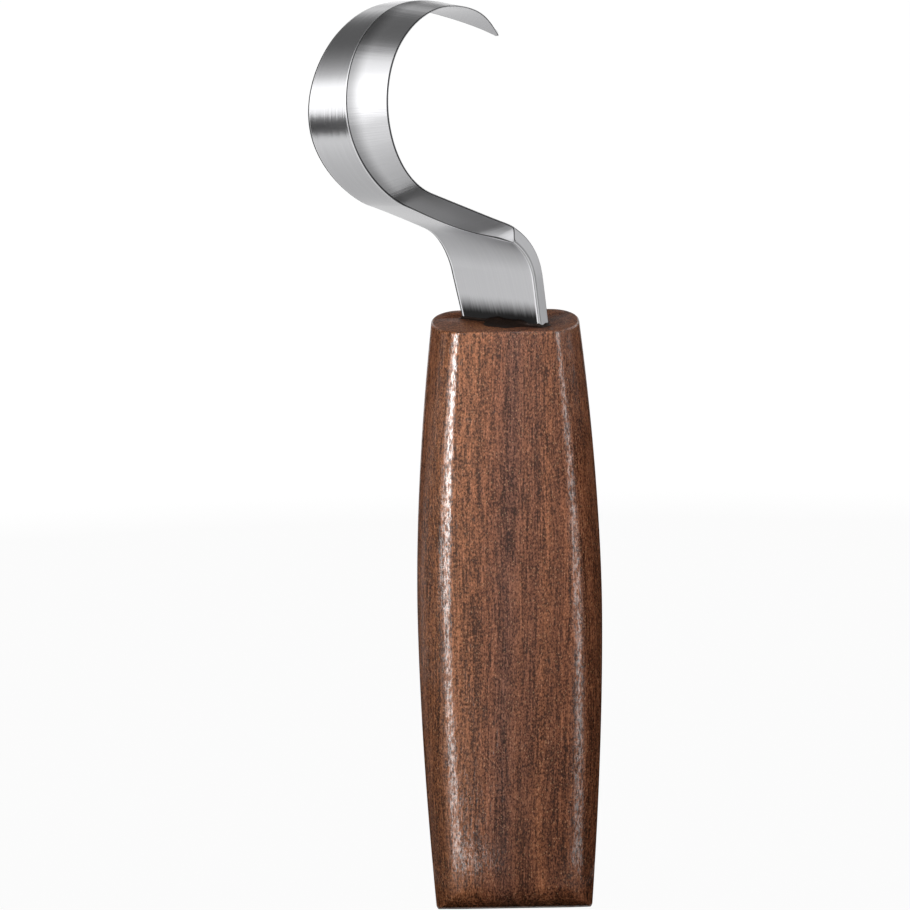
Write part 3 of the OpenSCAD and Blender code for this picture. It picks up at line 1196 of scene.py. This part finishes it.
    @staticmethod
    def _finishes() -> list[bpy.types.Material]:
        """Builds the strip's finishes.

        Returns:
            A material for each face, in the order of StripFace.
        """
        along = LineRun.ALONG
        bevel = {"roughness": 0.25, "satin": 0.5, "satin_to": (34.0, 48.0), "tilt": 0.1, "tone": 0.2}
        # the side's darker colour is painted shade, the edges' dark colour is painted shade along them, and
        # the ridge's pale colour is a painted highlight
        finishes = (
            GroundSteel("steel_ground_lengthwise", along, roughness=0.21, satin=0.42, stained=True),
            GroundSteel("steel_ground_bevel", LineRun.ACROSS, colour="E2E2E4", painted_ridge_shade=True, **bevel),
            GroundSteel("steel_polished_inside", along, satin=0.4, roughness=0.25),
            GroundSteel("steel_ground_side_painted_shade", along, colour="ACACAE", roughness=0.3, satin=0.3),
            GroundSteel("steel_satin_edge_painted_shade", along, colour="525254", roughness=0.5, satin=0.5),
            GroundSteel("steel_ridge_painted_highlight", along, colour="FAFAFC", roughness=0.3, satin=0.3),
        )
        return [finish.build() for finish in finishes]

    def _buried(self) -> tuple[np.ndarray, np.ndarray]:
        """Shapes the tang, its shoulders and the seated shank.

        Returns:
            Their rings, and where each is along the strip, in mm.
        """
        rings, places = [], []
        across = self.directions(np.zeros(1))[0][0]
        for width, depth in (
            SEAT.tang,
            (SEAT.tang[0], SEAT.shoulder_depth),
            (SEAT.width, self.full_width_depth),
            (SEAT.width, self.neck_ring),
        ):
            side, thick = width / 2, SEAT.thickness
            back = [[-side, 0], [-side, thick]]
            front = [[side - self.chamfer, thick], [side, thick - self.chamfer], [side, 0]]
            section, _ = self.rounded(np.array([back + front]))
            flat = section[0]
            ring = self.foot + across * flat[:, :1] + self.front * flat[:, 1:]
            rings.append(ring - np.array([0, 0, depth]))
            places.append(-depth)
        return np.stack(rings), np.array(places)

    @staticmethod
    def _way_round(section: np.ndarray) -> np.ndarray:
        """Measures how far round its section each point is from the spine.

        Args:
            section: The points of each section, in mm.

        Returns:
            The distances, in mm.
        """
        step = np.linalg.norm(np.diff(section, axis=1), axis=2)
        return np.concatenate([np.zeros((len(section), 1)), np.cumsum(step, axis=1)], axis=1)


# --- Epoxy ---


@dataclass
class EpoxyBead:
    """The epoxy that was squeezed out of the slot and wiped round the shank at the neck.

    Lengths are in mm. In front it was pushed out into a smear.
    """

    corner: float = 0.3
    corner_points: int = 7
    long_points: int = 70
    short_points: int = 14
    width: float = 0.55
    width_ripple: float = 0.25
    height: float = 0.5
    height_ripple: float = 0.22
    skirt: float = 0.14
    overlap: float = 0.04
    sunk: float = 0.08
    smear: float = 3.6
    smear_rise: float = 0.12
    smear_at: float = 1.4
    smear_half: float = 4.6
    waves: tuple[int, int] = (3, 24)
    seed: int = 7
    steps: int = 8

    def outline(self) -> tuple[np.ndarray, np.ndarray]:
        """Goes round the shank with rounded corners.

        Returns:
            The points, and their outward directions, both in the strip's own axes.
        """
        points, normals = [], []
        half_w, half_t = (side / 2 - self.corner for side in (SEAT.width, SEAT.thickness))
        order = ((1, 1), (-1, 1), (-1, -1), (1, -1))
        for i, (sx, sy) in enumerate(order):
            centre = np.array([sx * half_w, sy * half_t])
            start = 90 * i
            for a in np.radians(np.linspace(start, start + 90, self.corner_points)):
                normal = np.array([math.cos(a), math.sin(a)])
                points.append(centre + self.corner * normal)
                normals.append(normal)
            nx, ny = order[(i + 1) % 4]
            target = np.array([nx * half_w, ny * half_t])
            across = normals[-1]
            for t in np.linspace(0, 1, self.short_points if i % 2 else self.long_points)[1:-1]:
                points.append(centre * (1 - t) + target * t + self.corner * across)
                normals.append(across)
        return np.array(points), np.array(normals)

    def build(self) -> bpy.types.Object:
        """Builds the bead as a closed ring round the shank, and dresses the epoxy in the slot as well.

        Returns:
            The bead.
        """
        around, normal = self.outline()
        rng = np.random.default_rng(self.seed)
        turn = np.linspace(0, 2 * math.pi, len(around), endpoint=False)
        ripple = sum(
            rng.uniform(-1, 1) * np.sin(k * turn + rng.uniform(0, 6.3)) / k**0.5 for k in range(*self.waves)
        )
        ripple /= np.abs(ripple).max()
        reach = (around[:, 0] - self.smear_at) / self.smear_half
        pushed = self.smear * np.clip(1 - reach**4, 0, 1) * (around[:, 1] > 0)
        width = self.width + self.width_ripple * ripple + pushed * (1 + self.smear_rise * ripple)
        # the height's ripple is the width's, shifted round by a few points
        high = self.height + self.height_ripple * np.roll(ripple, 17) + self.smear_rise * pushed
        rows = []
        for t in np.linspace(0, 1, self.steps + 1):
            rise = high * (1 - t) ** 3 + self.skirt * (1 - t**6) * np.minimum(1, width)
            out = width * t - self.overlap * (1 - t)
            rows.append(np.column_stack([around + normal * out[:, None], rise]))
        below = np.full(len(around), -self.sunk)
        rows.append(np.column_stack([around + normal * width[:, None], below]))
        rows.append(np.column_stack([around - normal * self.overlap, below]))
        section = np.stack(rows)
        axes = [SEAT.across(), SEAT.front(), [0.0, 0.0, 1.0]]
        placed = SEAT.middle() + section @ axes
        rows_n, cols_n = placed.shape[:2]
        faces = []
        for i in range(rows_n):
            this, above = i * cols_n, (i + 1) % rows_n * cols_n
            for j in range(cols_n):
                k = (j + 1) % cols_n
                faces.append((this + j, above + j, above + k, this + k))
        finish = CuredEpoxy().build()
        piece = add_piece("epoxy_bead", placed.reshape(-1, 3) * MM, faces, [finish])
        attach(piece, "root")
        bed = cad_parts["tang_epoxy"]
        bed.data.materials.clear()
        bed.data.materials.append(finish)
        LOG.info("epoxy: %d faces", len(piece.data.polygons))
        return piece


# --- Studio ---


@dataclass(frozen=True)
class Softbox:
    """A soft rectangular lamp for the handle.

    Args:
        name: Its name.
        azimuth: Where it is, 0 in front of the knife and 90 to its right, in degrees.
        first: Distance from the knife and height of its one edge, in metres.
        last: Distance from the knife and height of its other edge, in metres.
        width: Its width, in metres.
        level: Its brightness, where 1 is a white page's.
        gloss: Whether it is the part that shows in the lacquer, and not the part that lights the wood.
    """

    name: str
    azimuth: float
    first: tuple[float, float]
    last: tuple[float, float]
    width: float
    level: float
    gloss: bool = False

    def build(self, lit: bpy.types.Collection) -> bpy.types.Object:
        """Hangs the lamp.

        Args:
            lit: The pieces that it lights.

        Returns:
            The lamp.
        """
        away = Vector(direction(self.azimuth))
        first, last = (away * distance + Vector((0, 0, z)) for distance, z in (self.first, self.last))
        up = (last - first).normalized()
        side = Vector((-away.y, away.x, 0.0))
        lamp = bpy.data.lights.new(self.name, "AREA")
        lamp.shape = "RECTANGLE"
        lamp.size, lamp.size_y = self.width, (last - first).length
        lamp.energy = self.level * math.pi * lamp.size * lamp.size_y
        holder = bpy.data.objects.new(self.name, lamp)
        bpy.context.scene.collection.objects.link(holder)
        turn = Matrix((side, up, side.cross(up))).transposed().to_4x4()
        holder.matrix_world = Matrix.Translation((first + last) / 2) @ turn
        holder.visible_camera = False
        holder.visible_diffuse = not self.gloss
        holder.visible_glossy = self.gloss
        holder.light_linking.receiver_collection = lit
        return holder


@dataclass(frozen=True)
class Lobe:
    """A soft round patch of the room's walls.

    Args:
        azimuth: Its middle, 0 in front of the knife and 90 to its right, in degrees.
        elevation: How high its middle is, in degrees.
        core: Angle from its middle at which it starts to fade, in degrees.
        rim: Angle at which it is gone.
    """

    azimuth: float
    elevation: float
    core: float
    rim: float

    def add(self, tree: Tree, towards: Socket) -> Node:
        """Adds the patch to the room.

        Args:
            tree: The room's node tree.
            towards: The direction looked in.

        Returns:
            A node that is 1 in the patch's core and 0 outside it.
        """
        axis = tuple(direction(self.azimuth, self.elevation))
        facing = add_node(tree, VECTOR, {0: towards, 1: axis}, operation="DOT_PRODUCT").outputs["Value"]
        rim, core = (math.cos(math.radians(angle)) for angle in (self.rim, self.core))
        fade = {0: facing, "From Min": rim, "From Max": core}
        return add_node(tree, RANGE, fade, interpolation_type="SMOOTHSTEP")


@dataclass(frozen=True)
class Card:
    """A card round the knife, for the steel and the lacquer to reflect.

    Args:
        name: Its name.
        azimuths: Where its two ends are, in degrees.
        inner: Distance from the knife and height of its one edge, in metres.
        outer: Distance from the knife and height of its other edge, in metres.
        colour: Its colour, as sRGB hex.
        level: Its own glow, where 1 is a white page's, or 0 for felt.
        fade: Height over which its top fades away, in metres, or 0 for a sharp top.
    """

    name: str
    azimuths: tuple[float, float]
    inner: tuple[float, float]
    outer: tuple[float, float]
    colour: str
    level: float = 0.0
    fade: float = 0.0

    def build(self) -> bpy.types.Object:
        """Puts the card up. Only reflections show it.

        Returns:
            The card.
        """
        steps = 12
        ways = np.array([direction(a) for a in np.linspace(*self.azimuths, steps)])
        points = np.concatenate([ways * distance + (0, 0, z) for distance, z in (self.inner, self.outer)])
        faces = [(i, i + 1, steps + i + 1, steps + i) for i in range(steps - 1)]
        material, tree = new_material(self.name + ("_diffuser" if self.level else "_felt"))
        node = partial(add_node, tree)
        colour = {"Color": linear(self.colour)}
        if self.level:
            face = node("ShaderNodeEmission", {**colour, "Strength": self.level})
        else:
            face = node("ShaderNodeBsdfDiffuse", colour)
        if self.fade:
            place = node("ShaderNodeTexCoord").outputs["Object"]
            height = node("ShaderNodeSeparateXYZ", {0: place}).outputs["Z"]
            top = self.outer[1]
            gone = node(RANGE, {0: height, "From Min": top - self.fade, "From Max": top})
            face = node("ShaderNodeMixShader", {0: gone, 1: face, 2: node("ShaderNodeBsdfTransparent")})
        node("ShaderNodeOutputMaterial", {"Surface": face})
        card = add_piece(self.name, points, faces, [material])
        card.visible_camera = False
        card.visible_diffuse = False
        card.visible_shadow = False
        return card


@dataclass
class Studio:
    """The pale floor, the lamps, the cards, the white room and the camera.

    Args:
        lit: The pieces that the lamps light.
    """

    lit: tuple[bpy.types.Object, ...]
    camera_back: float = 2.5
    camera_elevation: float = 11.2
    camera_roll: float = -0.94
    camera_lens: float = 529.96
    aim: tuple[float, float, float] = (-0.00976, 0.0, 0.0851)
    # lamps that light the wood, and then the strips that gleam in its lacquer, down to the floor
    lamps: tuple[Softbox, ...] = (
        Softbox("softbox_left", -27, (0.2, 0.07), (0.2, 0.36), 0.09, 6.5),
        Softbox("softbox_left_low", -27, (0.2, 0.01), (0.2, 0.07), 0.09, 3.7),
        Softbox("softbox_right", 44, (0.22, 0.07), (0.22, 0.36), 0.1, 3.8),
        Softbox("softbox_right_low", 44, (0.22, 0.01), (0.22, 0.07), 0.1, 2.3),
        Softbox("softbox_back_left", -135, (0.25, 0.01), (0.25, 0.36), 0.14, 3.0),
        Softbox("softbox_back_right", 140, (0.25, 0.01), (0.25, 0.36), 0.14, 3.0),
        Softbox("strip_left", -27, (0.19, 0.06), (0.19, 0.36), 0.086, 29.0, gloss=True),
        Softbox("strip_left_mid", -27, (0.19, 0.03), (0.19, 0.06), 0.086, 17.0, gloss=True),
        Softbox("strip_left_low", -27, (0.19, 0.002), (0.19, 0.03), 0.086, 10.0, gloss=True),
        Softbox("strip_left_far", -24, (0.13, 0.002), (0.19, 0.002), 0.068, 10.5, gloss=True),
        Softbox("strip_left_floor", -24, (0.08, 0.002), (0.13, 0.002), 0.045, 10.5, gloss=True),
        Softbox("strip_left_near", -24, (0.04, 0.002), (0.08, 0.002), 0.026, 9.0, gloss=True),
        Softbox("strip_left_side", -49, (0.19, 0.035), (0.19, 0.16), 0.06, 8.0, gloss=True),
        Softbox("strip_right", 46, (0.21, 0.03), (0.21, 0.36), 0.09, 5.0, gloss=True),
        Softbox("strip_right_low", 46, (0.21, 0.002), (0.21, 0.03), 0.09, 5.5, gloss=True),
        Softbox("strip_right_far", 46, (0.13, 0.002), (0.21, 0.002), 0.066, 4.0, gloss=True),
        Softbox("strip_right_floor", 46, (0.08, 0.002), (0.13, 0.002), 0.042, 3.5, gloss=True),
        Softbox("strip_right_near", 46, (0.04, 0.002), (0.08, 0.002), 0.025, 3.0, gloss=True),
    )
    # cards for the steel's bands, cards that keep the lacquer's sides dark, and small ones inside the
    # handle, which only the steel's bevel by the heel can see
    cards: tuple[Card, ...] = (
        Card("flag_bar", (-60, -86), (0.2, 0.098), (0.2, 0.152), "666666"),
        Card("flag_left", (-114, -165), (0.25, 0.001), (0.25, 0.11), "181614"),
        Card("flag_right", (90, 118), (0.25, 0.001), (0.25, 0.064), "181614"),
        Card("flag_right_back", (118, 165), (0.25, 0.001), (0.25, 0.11), "181614"),
        Card("flag_front", (-9, 13), (0.02, 0.001), (5.0, 0.001), "181614"),
        # a dark ring on the floor round the butt, a painted contact shade that only reflections show
        Card("foot_painted_shade", (-180, 180), (0.004, 0.0008), (0.03, 0.0008), "181614"),
        Card("screen_left", (-52, -105), (0.031, 0.04), (0.031, 0.105), "FFFFFF", 0.5, fade=0.035),
        Card("screen_left_low", (-52, -105), (0.031, 0.001), (0.031, 0.04), "FFFFFF", 0.2),
        Card("screen_left_side", (-105, -150), (0.031, 0.03), (0.031, 0.085), "FFFFFF", 0.06, fade=0.03),
        Card("flag_left_side", (-105, -165), (0.031, 0.001), (0.031, 0.03), "181614"),
        Card("flag_right_side", (58, 150), (0.031, 0.001), (0.031, 0.112), "2E2A28", fade=0.03),
        Card("reach_grey", (-30, -160), (0.007, 0.1), (0.0115, 0.1), "FFFFFF", 0.1),
        Card("reach_dark", (-30, -160), (0.001, 0.1), (0.007, 0.1), "181614"),
        Card("reach_bright", (0, 180), (0.0005, 0.1), (0.0115, 0.1), "FFFFFF", 0.9),
    )
    floor_half: float = 6.0
    # the floor's level in a reflection, near the knife and far from it, lower near the knife as a painted
    # shade
    floor_near: tuple[float, float] = (0.04, 0.62)
    floor_far: tuple[float, float] = (0.4, 1.05)
    # the share of that level where the floor is reflected and where it is seen: the rest takes shadows
    floor_reflected: float = 0.85
    floor_seen: float = 0.965
    # the room's level, how far its dark patches lower it and its washes raise it
    room_level: float = 1.15
    dark_depth: float = 1.02
    wash_gain: float = 0.6
    # the share of the room that lights what is matt
    room_light: float = 0.2
    dark: tuple[Lobe, ...] = (
        Lobe(-128, 25.4, 19.6, 47.2),
        Lobe(-152, 54, 15, 46),
        Lobe(2, 10, 8, 32),
        Lobe(174, 17, 2, 15),
    )
    wash: tuple[Lobe, ...] = (Lobe(-48, 24, 6, 28), Lobe(-76, 17, 0, 20))

    def build(self) -> None:
        """Sets up the whole studio."""
        self._floor()
        self._room()
        wood = bpy.data.collections.new("lit_by_softboxes")
        for piece in self.lit:
            wood.objects.link(piece)
        for lamp in self.lamps:
            lamp.build(wood)
        for card in self.cards:
            card.build()
        self._camera()
        bpy.context.scene.view_settings.view_transform = "Standard"
        LOG.info("studio: %d lamps, %d cards", len(self.lamps), len(self.cards))

    def _floor(self) -> None:
        """Lays the floor: it shows white, keeps the knife's shadow, and in the steel's reflections takes a
        painted shade, greyer near the knife.
        """
        half = self.floor_half
        corners = np.array([[-half, -half, 0], [half, -half, 0], [half, half, 0], [-half, half, 0]])
        material, tree = new_material("white_paper")
        node = partial(add_node, tree)
        shows = node("ShaderNodeLightPath").outputs
        place = node("ShaderNodeTexCoord").outputs["Object"]
        far = node(VECTOR, {0: place}, operation="LENGTH").outputs["Value"]
        (start, near_level), (end, far_level) = self.floor_near, self.floor_far
        span = {"From Min": start, "From Max": end, "To Min": near_level, "To Max": far_level}
        # painted shade: in reflections the floor is greyer near the knife
        level = node(RANGE, {0: far, **span})
        seen = node(MATH, {0: shows["Is Camera Ray"], 1: shows["Is Transmission Ray"]}, operation="MAXIMUM")
        level = node(MATH, {0: level, 1: seen}, operation="MAXIMUM")
        paper = node("ShaderNodeBsdfDiffuse", {"Color": linear("A0A0A0")})
        white = node("ShaderNodeEmission", {"Color": linear("FFFFFF"), "Strength": level})
        share = node(MATH, {0: shows["Is Glossy Ray"], 1: self.floor_reflected}, operation="MULTIPLY")
        share = node(MATH, {0: seen, 1: self.floor_seen, 2: share}, operation="MULTIPLY_ADD")
        mixed = node("ShaderNodeMixShader", {0: share, 1: paper, 2: white})
        node("ShaderNodeOutputMaterial", {"Surface": mixed})
        add_piece("floor", corners, [(0, 1, 2, 3)], [material])

    def _room(self) -> None:
        """Makes the room: white where it is seen, with a dark side and a soft wash for the steel."""
        world = bpy.data.worlds.new("room")
        bpy.context.scene.world = world
        world.use_nodes = True
        tree = world.node_tree
        tree.nodes.clear()
        node = partial(add_node, tree)
        shows = node("ShaderNodeLightPath").outputs
        towards = node("ShaderNodeTexCoord").outputs["Generated"]
        lit = self.room_level
        for lobes, gain in ((self.dark, -self.dark_depth), (self.wash, self.wash_gain)):
            most = 0.0
            for lobe in lobes:
                most = node(MATH, {0: lobe.add(tree, towards), 1: most}, operation="MAXIMUM")
            lit = node(MATH, {0: most, 1: gain, 2: lit}, operation="MULTIPLY_ADD")
        shine = {0: shows["Is Glossy Ray"], 1: 1 - self.room_light, 2: self.room_light}
        share = node(MATH, shine, operation="MULTIPLY_ADD")
        level = node(MATH, {0: lit, 1: share}, operation="MULTIPLY")
        soft = node("ShaderNodeBackground", {"Color": linear("FFFFFF"), "Strength": level})
        white = node("ShaderNodeBackground", {"Color": linear("FFFFFF"), "Strength": 1.0})
        mixed = node("ShaderNodeMixShader", {0: shows["Is Camera Ray"], 1: soft, 2: white})
        node("ShaderNodeOutputWorld", {"Surface": mixed})

    def _camera(self) -> None:
        """Sets the camera in front of the knife, a little above it."""
        camera = bpy.data.cameras.new("camera")
        camera.lens = self.camera_lens
        camera.sensor_width = 36.0
        camera.clip_end = 50.0
        back = Vector(direction(0.0, self.camera_elevation))
        holder = bpy.data.objects.new("camera", camera)
        bpy.context.scene.collection.objects.link(holder)
        holder.matrix_world = (
            Matrix.Translation(Vector(self.aim) + back * self.camera_back)
            @ (-back).to_track_quat("-Z", "Y").to_matrix().to_4x4()
            @ Matrix.Rotation(math.radians(self.camera_roll), 4, "Z")
        )
        bpy.context.scene.camera = holder


def main() -> None:
    """Builds the knife and the studio."""
    logging.basicConfig(level=logging.INFO, format="%(name)s %(message)s")
    handle = Handle().build()
    # the studio's cards are what the steel shows, and not the wood below it
    handle.visible_glossy = False
    HookBlade().build()
    bead = EpoxyBead().build()
    Studio(lit=(handle, bead)).build()


if __name__ == "__main__":
    main()
